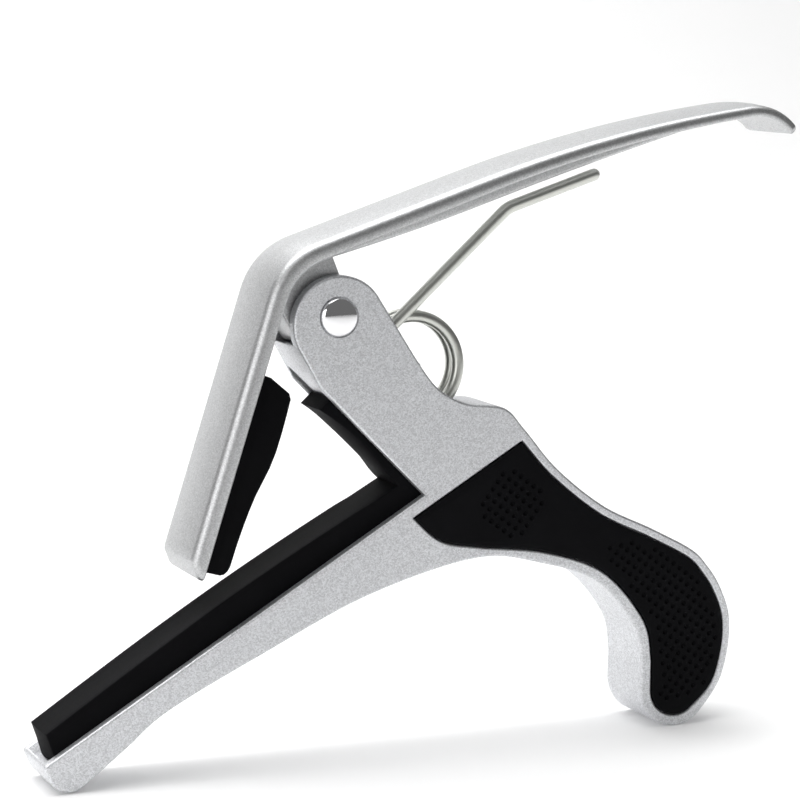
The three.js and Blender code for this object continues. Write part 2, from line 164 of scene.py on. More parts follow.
def rounded_slab(name, outline, low, high, edge, material, steps=4, across=1, swell=None):
    """An outline in X and Z from one Y to another, its long edges rounded. swell moves the
    points of the wall outwards, by a function of the point and its place across."""
    outline = anticlockwise([Vector(p) for p in outline])
    rings = []
    for i in range(steps + 1):
        turn = math.pi / 2 * i / steps
        rings.append((low + edge * (1 - math.sin(turn)), edge * (1 - math.cos(turn))))
    rings.reverse()
    for i in range(1, across):
        rings.append((lerp(low + edge, high - edge, i / across), 0.0))
    for i in range(steps + 1):
        turn = math.pi / 2 * i / steps
        rings.append((high - edge * (1 - math.sin(turn)), edge * (1 - math.cos(turn))))
    rings = sorted({(round(y, 6), round(d, 6)) for y, d in rings})
    stack = []
    for y, depth in rings:
        ring = inset(outline, depth)
        place = 2 * (y - low) / (high - low) - 1
        if swell:
            ring = [p + swell(p, place) for p in ring]
        stack.append([(p.x, y, p.y) for p in ring])
    return solid(name, stack, material)


unit_square = [Vector((0, 0)), Vector((1, 0)), Vector((1, 1)), Vector((0, 1))]
print("a unit square moved in by 0.1 has area", round(area_of(inset(unit_square, 0.1)), 3))

# %% [markdown]
# ## Finishes
#
# The frame and lever are cast aluminium with a silver finish that shows a fine glittering
# grain. Each grain is a flake that lies at its own angle, so the finish is made of small
# Voronoi cells: a cell's random colour sets how bright the flake is, and the same cells tilt
# the surface a little through a bump. A slower noise varies the roughness, as handling does.
# The pattern reads Object coordinates, in metres, so that it keeps its size on each piece.

# %% Node helper


def add(tree, kind, settings=None, **sockets):
    made = tree.nodes.new(kind)
    for key, value in (settings or {}).items():
        setattr(made, key, value)
    for key, value in sockets.items():
        socket = made.inputs[key.replace("_", " ")]
        if isinstance(value, bpy.types.NodeSocket):
            tree.links.new(value, socket)
        else:
            socket.default_value = value
    return made


def new_material(name):
    """An empty Principled material, with the Object coordinates that its pattern reads."""
    material = bpy.data.materials.new(name)
    material.use_nodes = True
    tree = material.node_tree
    shader = tree.nodes["Principled BSDF"]
    place = tree.nodes.new("ShaderNodeTexCoord").outputs["Object"]
    return material, tree, shader, place


def ramp(tree, factor, low, high):
    """A colour ramp between two colours or two grey levels."""
    made = add(tree, "ShaderNodeValToRGB", Fac=factor)
    for element, value in zip(made.color_ramp.elements, (low, high)):
        element.color = (value, value, value, 1) if isinstance(value, float) else (*value, 1)
    return made.outputs["Color"]


print("no finishes yet:", len(bpy.data.materials), "materials")

# %% Cast silver and satin silver
FINE_GRAIN = 3200.0
HANDLING = 90.0
FLAKE_RELIEF_MM = 0.02


def silver(name, dark, light, smooth, rough, grain_mm, relief):
    """Flakes between a dark and a light colour, on a surface between two roughnesses."""
    material, tree, shader, place = new_material(name)
    flakes = add(tree, "ShaderNodeTexVoronoi", Vector=place, Scale=1 / (grain_mm * MM))
    flake = add(tree, "ShaderNodeSeparateColor", Color=flakes.outputs["Color"])
    handling = add(tree, "ShaderNodeTexNoise", Vector=place, Scale=HANDLING, Detail=3.0)
    fine = add(tree, "ShaderNodeTexNoise", Vector=place, Scale=FINE_GRAIN, Detail=2.0)
    height = add(tree, "ShaderNodeMix", {"data_type": "FLOAT"}, Factor=0.5)
    tree.links.new(flake.outputs["Green"], height.inputs[2])
    tree.links.new(fine.outputs["Fac"], height.inputs[3])
    bump = add(tree, "ShaderNodeBump", Strength=relief, Distance=FLAKE_RELIEF_MM * MM,
               Height=height.outputs[0])
    tree.links.new(ramp(tree, flake.outputs["Red"], dark, light), shader.inputs["Base Color"])
    tree.links.new(ramp(tree, handling.outputs["Fac"], smooth, rough), shader.inputs["Roughness"])
    tree.links.new(bump.outputs["Normal"], shader.inputs["Normal"])
    shader.inputs["Metallic"].default_value = 1.0
    return material


CAST_SILVER = silver("cast_silver", (0.57, 0.575, 0.59), (0.83, 0.84, 0.86), 0.48, 0.58,
                     0.18, 0.3)
SATIN_SILVER = silver("satin_silver", (0.44, 0.445, 0.45), (0.62, 0.625, 0.63), 0.38, 0.48,
                      0.16, 0.3)
print("silver finishes:", CAST_SILVER.name, SATIN_SILVER.name)

# %% [markdown]
# ### Bright metal
#
# The rivet's head is polished and plated, and the spring is drawn wire, which is duller and
# slightly warm. Both are plain metal whose look comes from what they reflect, so the nodes
# only vary how sharp the reflection is, with a noise fine enough to read as polishing marks.

# %% Chrome and spring wire


def bright(name, colour, smooth, rough, streak):
    material, tree, shader, place = new_material(name)
    marks = add(tree, "ShaderNodeTexNoise", Vector=place, Scale=streak, Detail=4.0)
    tree.links.new(ramp(tree, marks.outputs["Fac"], smooth, rough), shader.inputs["Roughness"])
    shade = ramp(tree, marks.outputs["Fac"], tuple(0.93 * c for c in colour), colour)
    tree.links.new(shade, shader.inputs["Base Color"])
    shader.inputs["Metallic"].default_value = 1.0
    return material


CHROME = bright("chrome", (0.92, 0.92, 0.93), 0.03, 0.07, 700.0)
SPRING_WIRE = bright("spring_wire", (0.64, 0.65, 0.61), 0.30, 0.40, 1500.0)
print("bright finishes:", CHROME.name, SPRING_WIRE.name)

# %% [markdown]
# ### Rubber
#
# The pads and grips are moulded black rubber. Black rubber isn't an even colour: it has fine
# pores, and handling leaves it a little dusty. Pores drive the bump and the roughness, and a
# larger noise drives the colour. The specular level is low, because soft rubber hardly shines.

# %% Rubber
PORE_RELIEF_MM = 0.03
DUST = 140.0
SOFT_SHINE = 0.04


def rubber(name, dark, light, smooth, rough, pore_mm, relief):
    material, tree, shader, place = new_material(name)
    pores = add(tree, "ShaderNodeTexNoise", Vector=place, Scale=1 / (pore_mm * MM), Detail=4.0)
    dust = add(tree, "ShaderNodeTexNoise", Vector=place, Scale=DUST, Detail=5.0)
    bump = add(tree, "ShaderNodeBump", Strength=relief, Distance=PORE_RELIEF_MM * MM,
               Height=pores.outputs["Fac"])
    tree.links.new(ramp(tree, dust.outputs["Fac"], dark, light), shader.inputs["Base Color"])
    tree.links.new(ramp(tree, pores.outputs["Fac"], smooth, rough), shader.inputs["Roughness"])
    tree.links.new(bump.outputs["Normal"], shader.inputs["Normal"])
    shader.inputs["Specular IOR Level"].default_value = SOFT_SHINE
    return material


PAD_RUBBER = rubber("pad_rubber", (0.003, 0.003, 0.0035), (0.006, 0.006, 0.007), 0.56, 0.70,
                    0.35, 0.35)
GRIP_RUBBER = rubber("grip_rubber", (0.003, 0.003, 0.0035), (0.006, 0.006, 0.007), 0.50, 0.62,
                     0.30, 0.25)
print("rubber finishes:", PAD_RUBBER.name, GRIP_RUBBER.name)

# %% [markdown]
# ## The frame
#
# On the real capo the frame is one die casting: two ears, the channelled jaw, the arm and the
# hooked handle. Its shape is exact in the CAD model already, so it isn't drawn again. A copy
# of that mesh is merged, its flat faces are joined back into single faces, and the edges of
# its two side faces get a narrow bevel. That bevel catches the light as a thin bright line.
# The shallow countersinks are narrower than two bevels, so they are left as they are.

# %% Frame
SIDE = 6.0
COUNTERSINK = 3.6
FRAME_EDGE = 0.4
BEND_ANGLE = math.radians(32)


def merged_copy(node):
    """A CAD node's mesh with its loose triangles joined into whole flat faces."""
    made = bmesh.new()
    made.from_mesh(frame["nodes"][node].data)
    bmesh.ops.remove_doubles(made, verts=made.verts, dist=1e-6)
    bmesh.ops.dissolve_limit(made, angle_limit=math.radians(0.1), verts=[], edges=made.edges)
    return made


def mark_side_edges(made):
    """Gives bevel weight to the edges of the two side faces, apart from the countersinks.
    Returns how many there are."""
    weight = made.edges.layers.float.new("bevel_weight_edge")
    marked = 0
    for edge in made.edges:
        ends = [(v.co - PIVOT) / MM for v in edge.verts]
        on_side = all(abs(abs(end.y) - SIDE) < 0.01 for end in ends)
        by_rivet = any(math.hypot(end.x, end.z) < COUNTERSINK for end in ends)
        if on_side and not by_rivet and edge.calc_face_angle(0) > BEND_ANGLE:
            edge[weight] = 1.0
            marked += 1
    return marked


def bevel_marked(piece, width_mm):
    bevel = piece.modifiers.new("round_edges", "BEVEL")
    bevel.width = width_mm * MM
    bevel.segments = 3
    bevel.limit_method = "WEIGHT"
    bevel.use_clamp_overlap = False
    even = piece.modifiers.new("flat_faces", "WEIGHTED_NORMAL")
    even.keep_sharp = False


frame_mesh = bpy.data.meshes.new("frame_casting")
merged = merged_copy("frame")
marked_edges = mark_side_edges(merged)
merged.to_mesh(frame_mesh)
merged.free()
frame_casting = finish_mesh("frame_casting", frame_mesh, CAST_SILVER, 180)
bevel_marked(frame_casting, FRAME_EDGE)
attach(frame_casting, "frame")
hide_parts("frame")
print("frame:", len(frame_mesh.polygons), "faces,", marked_edges, "edges to round")

# %% [markdown]
# ## The lever
#
# The lever is a second casting: a bar that runs up the moving jaw, round the rivet and out
# along the handle, thinner towards its tip, which curls down. A bar like this is a section
# swept along a line, and the section is the interesting part: its back is slightly crowned,
# the two shoulders beside it are well rounded, and the inner edges only have a fine round.
# So the section is written as a function of the bar's thickness and width, and the stations
# give those two along the way.

# %% Sizes of the lever
LEVER_WIDTH = 14.5
THICK = 3.2
TIP_THICK = 1.9
BEND = 9.1
JAW_ANGLE = 72
JAW_LENGTH = 43
HANDLE_SLOPE = 18
HANDLE_STRAIGHT = 29
ARCH = 235
TIP_SLOPE = 6.7
CURL = 10
CURL_END = -52
CROWN = 0.7
SHOULDER = 1.5
FINE_EDGE = 0.45


def bar_section(thickness, half_width, shrink=0.0):
    """Points of the bar's section as (across, depth below the back), anticlockwise."""
    crown = CROWN * min(1.0, thickness / THICK)
    shoulder = min(SHOULDER, 0.55 * thickness)
    half = half_width - shrink
    section = []
    for i in range(13):
        across = lerp(-(half - shoulder), half - shoulder, i / 12)
        section.append((across, crown * (across / half_width) ** 2 + shrink))
    edge_depth = section[-1][1]
    for i in range(1, 7):
        turn = math.pi / 2 * i / 6
        section.append((half - shoulder + shoulder * math.sin(turn),
                        edge_depth + shoulder * (1 - math.cos(turn))))
    fine = min(FINE_EDGE, 0.3 * thickness)
    bottom = thickness - shrink
    for i in range(4):
        turn = math.pi / 2 * i / 3
        section.append((half - fine + fine * math.cos(turn),
                        bottom - fine + fine * math.sin(turn)))
    right = section[13:]
    section += [(-across, depth) for across, depth in reversed(right)]
    return section


print("the bar's section has", len(bar_section(THICK, LEVER_WIDTH / 2)), "points")

# %% Stations along the lever
JAW_CORNER = 1.6
JAW_END_BEVEL = 2.2
TIP_CORNER = 1.3
TIP_ROUND = 0.35


def station(back, normal_angle, thickness, half_width=LEVER_WIDTH / 2, shrink=0.0):
    """One ring of the bar: back is the middle of its outer face."""
    normal = heading(normal_angle)
    ring = []
    for across, depth in bar_section(thickness, half_width, shrink):
        point = back - normal * depth
        ring.append((point.x, across, point.y))
    return ring


def corner_width(distance, radius):
    """Half width near an end whose corners have that radius."""
    if distance >= radius:
        return LEVER_WIDTH / 2
    return LEVER_WIDTH / 2 - radius + math.sqrt(radius**2 - (radius - distance) ** 2)


def lever_rings():
    rings = []
    jaw_top = heading(90 + JAW_ANGLE) * (BEND + THICK)
    jaw_way = 180 + JAW_ANGLE
    out = 90 + JAW_ANGLE
    end = JAW_LENGTH
    for back_off, shrink in ((0.0, 0.3), (0.08, 0.12), (0.3, 0.0)):
        depth = JAW_END_BEVEL - back_off
        rings.append(station(along(jaw_top, jaw_way, end - back_off, depth), out,
                             THICK - depth, corner_width(0.5 + back_off, JAW_CORNER), shrink))
    for distance in (0.8, 1.4, 2.0):
        depth = max(JAW_END_BEVEL - distance, 0)
        rings.append(station(along(jaw_top, jaw_way, end - distance, depth), out,
                             THICK - depth, corner_width(distance + 0.5, JAW_CORNER)))
    for distance in (2.6, 4.0, 10.0, 18.0, 27.0, 36.0, 43.0):
        rings.append(station(along(jaw_top, jaw_way, end - distance, 0), out, THICK))
    for i in range(1, 13):
        angle = lerp(90 + JAW_ANGLE, 90 + HANDLE_SLOPE, i / 12)
        rings.append(station(heading(angle) * (BEND + THICK), angle, THICK))
    return rings


def handle_path():
    """Points on the back of the handle: (point, heading, distance run)."""
    runs = [(HANDLE_STRAIGHT, HANDLE_SLOPE, HANDLE_SLOPE, 10),
            (ARCH * math.radians(HANDLE_SLOPE - TIP_SLOPE), HANDLE_SLOPE, TIP_SLOPE, 20),
            (CURL * math.radians(TIP_SLOPE - CURL_END), TIP_SLOPE, CURL_END, 12)]
    point = heading(90 + HANDLE_SLOPE) * (BEND + THICK)
    run = 0.0
    path = []
    for length, start, stop, steps in runs:
        for i in range(steps):
            point = along(point, lerp(start, stop, (i + 0.5) / steps), length / steps)
            run += length / steps
            path.append((point, lerp(start, stop, (i + 1) / steps), run))
    return path


HANDLE = handle_path()
HANDLE_RUN = HANDLE[-1][2]


def bar_thickness(run):
    return lerp(THICK, TIP_THICK, run / HANDLE_RUN)


def handle_rings():
    rings = []
    for point, angle, run in HANDLE[:-1]:
        width = corner_width(HANDLE_RUN - run + 0.4, TIP_CORNER)
        rings.append(station(point, angle + 90, bar_thickness(run), width))
    point, angle, run = HANDLE[-1]
    for extra, shrink in ((0.0, 0.0), (0.25, 0.12), (TIP_ROUND, TIP_ROUND)):
        rings.append(station(along(point, angle, extra - TIP_ROUND), angle + 90,
                             bar_thickness(run), corner_width(0.4, TIP_CORNER), shrink))
    return rings


bar = solid("lever_bar", lever_rings() + handle_rings(), SATIN_SILVER)
print("handle runs", round(HANDLE_RUN, 1), "mm")

# %% [markdown]
# ### Its rib and lug
#
# A rib under the handle stiffens it, deepest about a third of the way out, and a lug drops
# from the bend between the frame's ears to carry the rivet. Both are slabs with slightly
# round edges. They are joined to the bar with a Boolean, so that the lever is one closed
# skin, and the same step cuts the bore and the shallow groove that the rubber pad sits in.

# %% Rib and lug
LUG_WIDTH = 7.3
RIB_DEPTH = 2.1
RIB_DEEPEST = 32
RIB_REACH = 38
LUG_RADIUS = 5.4
HEEL_REACH = 6.8
HEEL_HEIGHT = 3.9
BORE = 4.9
LUG_START, LUG_STOP = 225, 435  # angles of the round end
GROOVE_WIDTH = 9.0
GROOVE_DEPTH = 0.6
GROOVE_START = 11.1


def rib_outline():
    ribbed = [s for s in HANDLE if s[2] < RIB_DEEPEST + RIB_REACH]
    under, inside = [], []
    for point, angle, run in ribbed:
        depth = RIB_DEPTH * (1 - ((run - RIB_DEEPEST) / RIB_REACH) ** 2)
        under.append(along(point, angle, 0, -bar_thickness(run) - depth))
        inside.append(along(point, angle, 0, -THICK / 2))
    return under + inside[::-1]


def lug_outline():
    heel = Vector((-math.sqrt(HEEL_REACH**2 - HEEL_HEIGHT**2), -HEEL_HEIGHT))
    start = 90 + JAW_ANGLE
    stop = 90 + HANDLE_SLOPE
    outline = [heading(start + 6) * BEND, heel]
    for i in range(25):
        outline.append(heading(lerp(LUG_START, LUG_STOP, i / 24)) * LUG_RADIUS)
    outline.append(heading(stop - 17) * BEND)
    for i in range(9):
        outline.append(heading(lerp(stop - 14, start + 3, i / 8)) * (BEND + THICK / 2))
    return outline


def combine(base, tool, operation):
    """Applies one Boolean and removes the tool."""
    step = base.modifiers.new("combine", "BOOLEAN")
    step.operation = operation
    step.solver = "MANIFOLD"
    step.object = tool
    evaluated = base.evaluated_get(bpy.context.evaluated_depsgraph_get())
    result = bpy.data.meshes.new_from_object(evaluated)
    base.modifiers.clear()
    base.data = result
    bpy.data.objects.remove(tool)
    return base


half_lug = LUG_WIDTH / 2
rib = rounded_slab("rib", rib_outline(), -half_lug, half_lug, 0.5, SATIN_SILVER)
lug = rounded_slab("lug", lug_outline(), -half_lug, half_lug, 0.3, SATIN_SILVER)
circle = [heading(360 * i / 48) * (BORE / 2) for i in range(48)]
bore = solid("bore", [[(p.x, y, p.y) for p in circle] for y in (-9, 9)], SATIN_SILVER)
jaw_foot = heading(90 + JAW_ANGLE) * BEND
groove_corners = [along(jaw_foot, 180 + JAW_ANGLE, a, b)
                  for a, b in ((GROOVE_START, -GROOVE_DEPTH), (46, -GROOVE_DEPTH), (46, 2),
                               (GROOVE_START, 2))]
groove = solid("groove", [[(p.x, y, p.y) for p in groove_corners]
                          for y in (-GROOVE_WIDTH / 2, GROOVE_WIDTH / 2)], SATIN_SILVER)
combine(bar, rib, "UNION")
combine(bar, lug, "UNION")
combine(bar, bore, "DIFFERENCE")
combine(bar, groove, "DIFFERENCE")
bar.name = "lever_casting"
bar.data.shade_smooth()
bar.data.set_sharp_from_angle(angle=math.radians(28))
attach(bar, "lever")
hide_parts("lever")
print("lever:", len(bar.data.polygons), "faces")

# %% [markdown]
# ## The rivet
#
# The rivet is a turned pin with a low domed head at the front and a flatter one formed at the
# back. A turned part is a profile spun about its axis. Here the profile has a short straight
# rim under the dome, which draws the thin ring that a polished head shows.

# %% Rivet
HEAD = 2.9
PIN = 2.2
FRONT_CROWN = 1.05
RIM = 0.18
BACK_CROWN = 0.5


def rivet_rings():
    profile = []
    for i in range(11):
        turn = math.pi / 2 * i / 10
        profile.append((-SIDE - RIM + 0.1 - (FRONT_CROWN - RIM) * math.cos(turn),
                        max(HEAD * math.sin(turn), 0.02)))
    profile += [(-SIDE + 0.1, HEAD), (-SIDE + 0.26, HEAD - 0.12), (-SIDE + 0.26, PIN),
                (SIDE - 0.26, PIN), (SIDE - 0.26, HEAD - 0.12), (SIDE - 0.1, HEAD)]
    for i in range(10, -1, -1):
        turn = math.pi / 2 * i / 10
        profile.append((SIDE + 0.05 + BACK_CROWN * math.cos(turn),
                        max(HEAD * math.sin(turn), 0.02)))
    return [[(r * math.cos(2 * math.pi * i / 64), y, r * math.sin(2 * math.pi * i / 64))
             for i in range(64)] for y, r in profile]


rivet = solid("rivet", rivet_rings(), CHROME, 40)
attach(rivet, "frame")
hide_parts("pivot_rivet")
print("rivet head", 2 * HEAD, "mm across")

# %% [markdown]
# ## The spring
#
# The torsion spring is one bent wire: a leg that presses up under the handle, two and a bit
# turns of coil, and a leg that presses down inside the frame. A wire is a circle that follows
# a path, which Geometry Nodes do well. The path's points carry a `taper` number, which
# shrinks the last half diameter at each end, so that the cut ends are rounded. When the
# handle is squeezed the coil winds up.

# %% Path of the wire
WIRE = 1.9
COIL_RADIUS = 7.5
COIL_PITCH = 2.4
UPPER_LEG = (42.0, 27.1)
END_RUN = (17.8, 16.4)
LOWER_LEG = (-35.0, 15.0)
LEG_BEND = 5.0
coil_centre = Vector(((COIL - PIVOT).x / MM, (COIL - PIVOT).z / MM))


def wire_path():
    slope, length = UPPER_LEG
    first = slope + 90
    sweep = 720 + (LOWER_LEG[0] - 90 + 360 - first)
    half_span = COIL_PITCH * sweep / 720
    root = coil_centre + heading(first) * COIL_RADIUS
    corner = along(root, slope, length)
    size = LEG_BEND * math.tan(math.radians((slope - END_RUN[0]) / 2))
    flat = [along(corner, END_RUN[0], lerp(END_RUN[1], size, i / 14)) for i in range(14)]
    centre = along(along(corner, slope, -size), slope, 0, -LEG_BEND)
    flat += [centre + heading(lerp(END_RUN[0], slope, i / 8) + 90) * LEG_BEND for i in range(9)]
    flat += [along(root, slope, (length - size) * (1 - i / 24)) for i in range(1, 24)]
    path = [(p.x, -half_span, p.y) for p in flat]
    for i in range(145):
        share = i / 144
        p = coil_centre + heading(first + share * sweep) * COIL_RADIUS
        path.append((p.x, half_span * (2 * share - 1), p.y))
    foot = coil_centre + heading(first + sweep) * COIL_RADIUS
    for i in range(1, 13):
        p = along(foot, LOWER_LEG[0], LOWER_LEG[1] * i / 12)
        path.append((p.x, half_span, p.y))
    return [Vector(p) for p in path]


def with_round_ends(path, steps=5):
    """Adds points at both ends, closer and closer together, with the taper of a half ball."""
    radius = WIRE / 2
    ends = []
    for tip, inner in ((path[0], path[1]), (path[-1], path[-2])):
        way = (inner - tip).normalized()
        ends.append([(tip + way * radius * (1 - math.cos(math.pi / 2 * i / steps)),
                      max(math.sin(math.pi / 2 * i / steps), 0.05)) for i in range(steps + 1)])
    middle = [(p, 1.0) for p in path[1:-1]
              if (p - path[0]).length > 1.2 * radius and (p - path[-1]).length > 1.2 * radius]
    return ends[0] + middle + ends[1][::-1]


wire_points = with_round_ends(wire_path())
print("wire path has", len(wire_points), "points")

# %% Node tree that gives the path its thickness


def new_tree(name, inputs):
    tree = bpy.data.node_groups.new(name, "GeometryNodeTree")
    tree.interface.new_socket("Geometry", in_out="INPUT", socket_type="NodeSocketGeometry")
    for label, kind in inputs:
        tree.interface.new_socket(label, in_out="INPUT", socket_type="NodeSocket" + kind)
    tree.interface.new_socket("Geometry", in_out="OUTPUT", socket_type="NodeSocketGeometry")
    given = tree.nodes.new("NodeGroupInput").outputs
    result = tree.nodes.new("NodeGroupOutput").inputs[0]
    return tree, given, result


def run_tree(name, base_mesh, tree, values):
    """Runs a tree on a mesh and returns the result as a plain object."""
    base = bpy.data.objects.new(name, base_mesh)
    bpy.context.scene.collection.objects.link(base)
    step = base.modifiers.new("make", "NODES")
    step.node_group = tree
    for item in tree.interface.items_tree:
        if item.in_out == "INPUT" and item.name in values:
            step[item.identifier] = values[item.name]
    evaluated = base.evaluated_get(bpy.context.evaluated_depsgraph_get())
    made = bpy.data.meshes.new_from_object(evaluated)
    base.modifiers.clear()
    base.data = made
    return base


def wire_tree():
    tree, given, result = new_tree(
        "wire_along_path", [("Diameter", "Float"), ("Sides", "Int"), ("Finish", "Material")]
    )
    taper = add(tree, "GeometryNodeInputNamedAttribute", {"data_type": "FLOAT"}, Name="taper")
    radius = add(tree, "ShaderNodeMath", {"operation": "MULTIPLY"})
    tree.links.new(given["Diameter"], radius.inputs[0])
    radius.inputs[1].default_value = 0.5
    line = add(tree, "GeometryNodeMeshToCurve", Mesh=given["Geometry"])
    circle = add(tree, "GeometryNodeCurvePrimitiveCircle", Resolution=given["Sides"],
                 Radius=radius.outputs[0])
    skin = add(tree, "GeometryNodeCurveToMesh", Curve=line.outputs[0],
               Profile_Curve=circle.outputs[0], Scale=taper.outputs["Attribute"],
               Fill_Caps=True)
    soft = add(tree, "GeometryNodeSetShadeSmooth", Geometry=skin.outputs[0])
    whole = add(tree, "GeometryNodeRealizeInstances", Geometry=soft.outputs[0])
    dressed = add(tree, "GeometryNodeSetMaterial", Geometry=whole.outputs[0],
                  Material=given["Finish"])
    tree.links.new(dressed.outputs[0], result)
    return tree


WIRE_TREE = wire_tree()
print("wire tree has", len(WIRE_TREE.nodes), "nodes")

# %% Spring
path_mesh = bpy.data.meshes.new("wire_path")
path_mesh.from_pydata([in_frame(*p) for p, taper in wire_points],
                      [(i, i + 1) for i in range(len(wire_points) - 1)], [])
tapers = path_mesh.attributes.new("taper", "FLOAT", "POINT")
tapers.data.foreach_set("value", [taper for p, taper in wire_points])
spring = run_tree("torsion_spring", path_mesh, WIRE_TREE,
                  {"Diameter": WIRE * MM, "Sides": 20, "Finish": SPRING_WIRE})
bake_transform(spring)
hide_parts("spring_coil", "spring_leg")
print("spring:", len(spring.data.polygons), "faces")

# %% [markdown]
# ## The rubber pads
#
# Two black rubber pads touch the guitar. The long one is L-shaped: it lies in a channel along
# the fixed jaw and turns up the arm, and its top is slightly arched, to follow a fretboard.
# The short one is a block on the moving jaw. Both are moulded, with soft edges and a face that
# falls a little towards its sides. On the short leg of the L that fall is a long shallow
# scoop. They are drawn as outlines and made as rounded slabs whose wall moves in or out by a
# function of its place across.

# %% Fretboard pad
CORNER = Vector((14, -27.9))
JAW_WAY = 180 + 30.8
ARM_WAY = 180 - 44.4
PAD_HALF = 4.2
PAD_HEIGHT = 3.3
PAD_ARCH = 0.7
PAD_END = 68.9
PAD_END_LEAN = 1.4
SHORT_HEIGHT = 1.6
SHORT_END = 21.4
SCOOP_START = 5.5
SCOOP_DEPTH = 0.95
SIDE_FALL = 0.12
SUNK = 0.9


def on_jaw(distance, depth):
    return along(CORNER, JAW_WAY, distance, depth)


def on_arm(distance, proud):
    return along(CORNER, ARM_WAY, distance, proud)


def meet(a, angle_a, b, angle_b):
    u, v = heading(angle_a), heading(angle_b)
    return a + u * ((b - a).cross(v) / u.cross(v))


def fretboard_outline():
    inner = meet(on_jaw(0, -PAD_HEIGHT), JAW_WAY, on_arm(0, SHORT_HEIGHT), ARM_WAY)
    start = (inner - CORNER).dot(heading(JAW_WAY))
    top = [on_jaw(lerp(start, PAD_END - PAD_END_LEAN, i / 24),
                  -PAD_HEIGHT - PAD_ARCH * math.sin(math.pi * i / 24)) for i in range(1, 24)]
    turn = (inner - CORNER).dot(heading(ARM_WAY))
    short = [on_arm(lerp(SHORT_END, turn, i / 16), SHORT_HEIGHT) for i in range(1, 16)]
    return ([meet(on_jaw(0, SUNK), JAW_WAY, on_arm(0, -SUNK), ARM_WAY),
             on_arm(SHORT_END, -SUNK), on_arm(SHORT_END, SHORT_HEIGHT)] + short + [inner] + top
            + [on_jaw(PAD_END - PAD_END_LEAN, -PAD_HEIGHT), on_jaw(PAD_END, SUNK)])


def pad_swell(point, place):
    """Lowers the pad's face towards its sides: a little along the jaw, and by a long shallow
    scoop along the arm."""
    proud = (point - CORNER).dot(heading(ARM_WAY + 90))
    up = (point - CORNER).dot(heading(ARM_WAY))
    if proud > 0.8 and up > SCOOP_START:
        share = min((up - SCOOP_START) / (SHORT_END - SCOOP_START), 1)
        return heading(ARM_WAY + 90) * (-SCOOP_DEPTH * math.sin(math.pi * share) * place**2)
    height = (point - CORNER).dot(heading(JAW_WAY - 90))
    return heading(JAW_WAY - 90) * (-SIDE_FALL * place**2 if height > 2.5 else 0.0)


fretboard_pad = rounded_slab("fretboard_cushion", fretboard_outline(), -PAD_HALF, PAD_HALF, 0.2,
                             PAD_RUBBER, steps=3, across=8, swell=pad_swell)
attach(fretboard_pad, "frame")
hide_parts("fretboard_pad")
print("fretboard pad:", len(fretboard_pad.data.polygons), "faces")

# %% Neck pad
NECK_SIDE_FALL = 0.3


def on_moving(distance, proud):
    return along(jaw_foot, 180 + JAW_ANGLE, distance, proud)


neck_outline = [on_moving(a, b) for a, b in (
    (11.4, -0.3), (42, -0.3), (41.9, 3.6), (41.6, 4.2), (41.0, 4.6), (40.2, 4.8), (37, 4.85),
    (34, 5.0), (31.5, 5.2), (29, 5.5), (26.5, 6.0), (24.5, 6.4), (22, 6.65), (19, 6.68),
    (16, 6.6), (13.8, 6.5), (13.0, 6.0), (11.9, 3.4), (11.5, 2.2))]


def neck_swell(point, place):
    """Lowers the pad's face a little towards its two sides."""
    height = (point - jaw_foot).dot(heading(JAW_ANGLE - 90))
    return heading(JAW_ANGLE - 90) * (-NECK_SIDE_FALL * place**2 if height > 3.3 else 0.0)


neck_pad = rounded_slab("neck_cushion", neck_outline, -PAD_HALF, PAD_HALF, 0.35, PAD_RUBBER,
                        steps=3, across=6, swell=neck_swell)
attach(neck_pad, "lever")
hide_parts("neck_pad")
print("neck pad:", len(neck_pad.data.polygons), "faces")

# %% [markdown]
# ## The grips
#
# A black rubber inlay fills a recess in each side of the lower handle. Its outline is read from
# the CAD model's own inlay and grown a little, so that the rubber fills the CAD's assembly gap
# as a pressed fit does, and the face gets a soft round edge. Two fields of small dimples give
# the fingers a hold: a round field near the jaws and a long one over the hook.

# %% Outline of the inlays


def side_outline(node):
    """The outline of a CAD node's side face, in millimetres about the rivet."""
    made = merged_copy(node)
    made.faces.ensure_lookup_table()
    side = max((f for f in made.faces if abs(f.normal.y) > 0.99), key=lambda f: f.calc_area())
    outline = [Vector(((v.co - PIVOT).x / MM, (v.co - PIVOT).z / MM)) for v in side.verts]
    made.free()
    return outline


PRESS_FIT = 0.22
grip_outline = inset(anticlockwise(side_outline("grip_front")), -PRESS_FIT)
GRIP_FACE = 6.3
GRIP_BACK = 4.8
print("grip outline has", len(grip_outline), "points")

# %% [markdown]
# ### Dimples in the grips
#
# The dimples stand in a square grid that is turned on the handle, so Geometry Nodes lay out
# the grid, turn it, and keep only the points that lie on a flat patch of the wanted shape. A
# flattened ball is put on each point that is left. The patch is the tree's input geometry, so
# the same tree serves both fields on both sides. A Boolean then takes the balls out of the
# rubber, so that each dimple is a real hollow.

# %% Node tree for the dimples


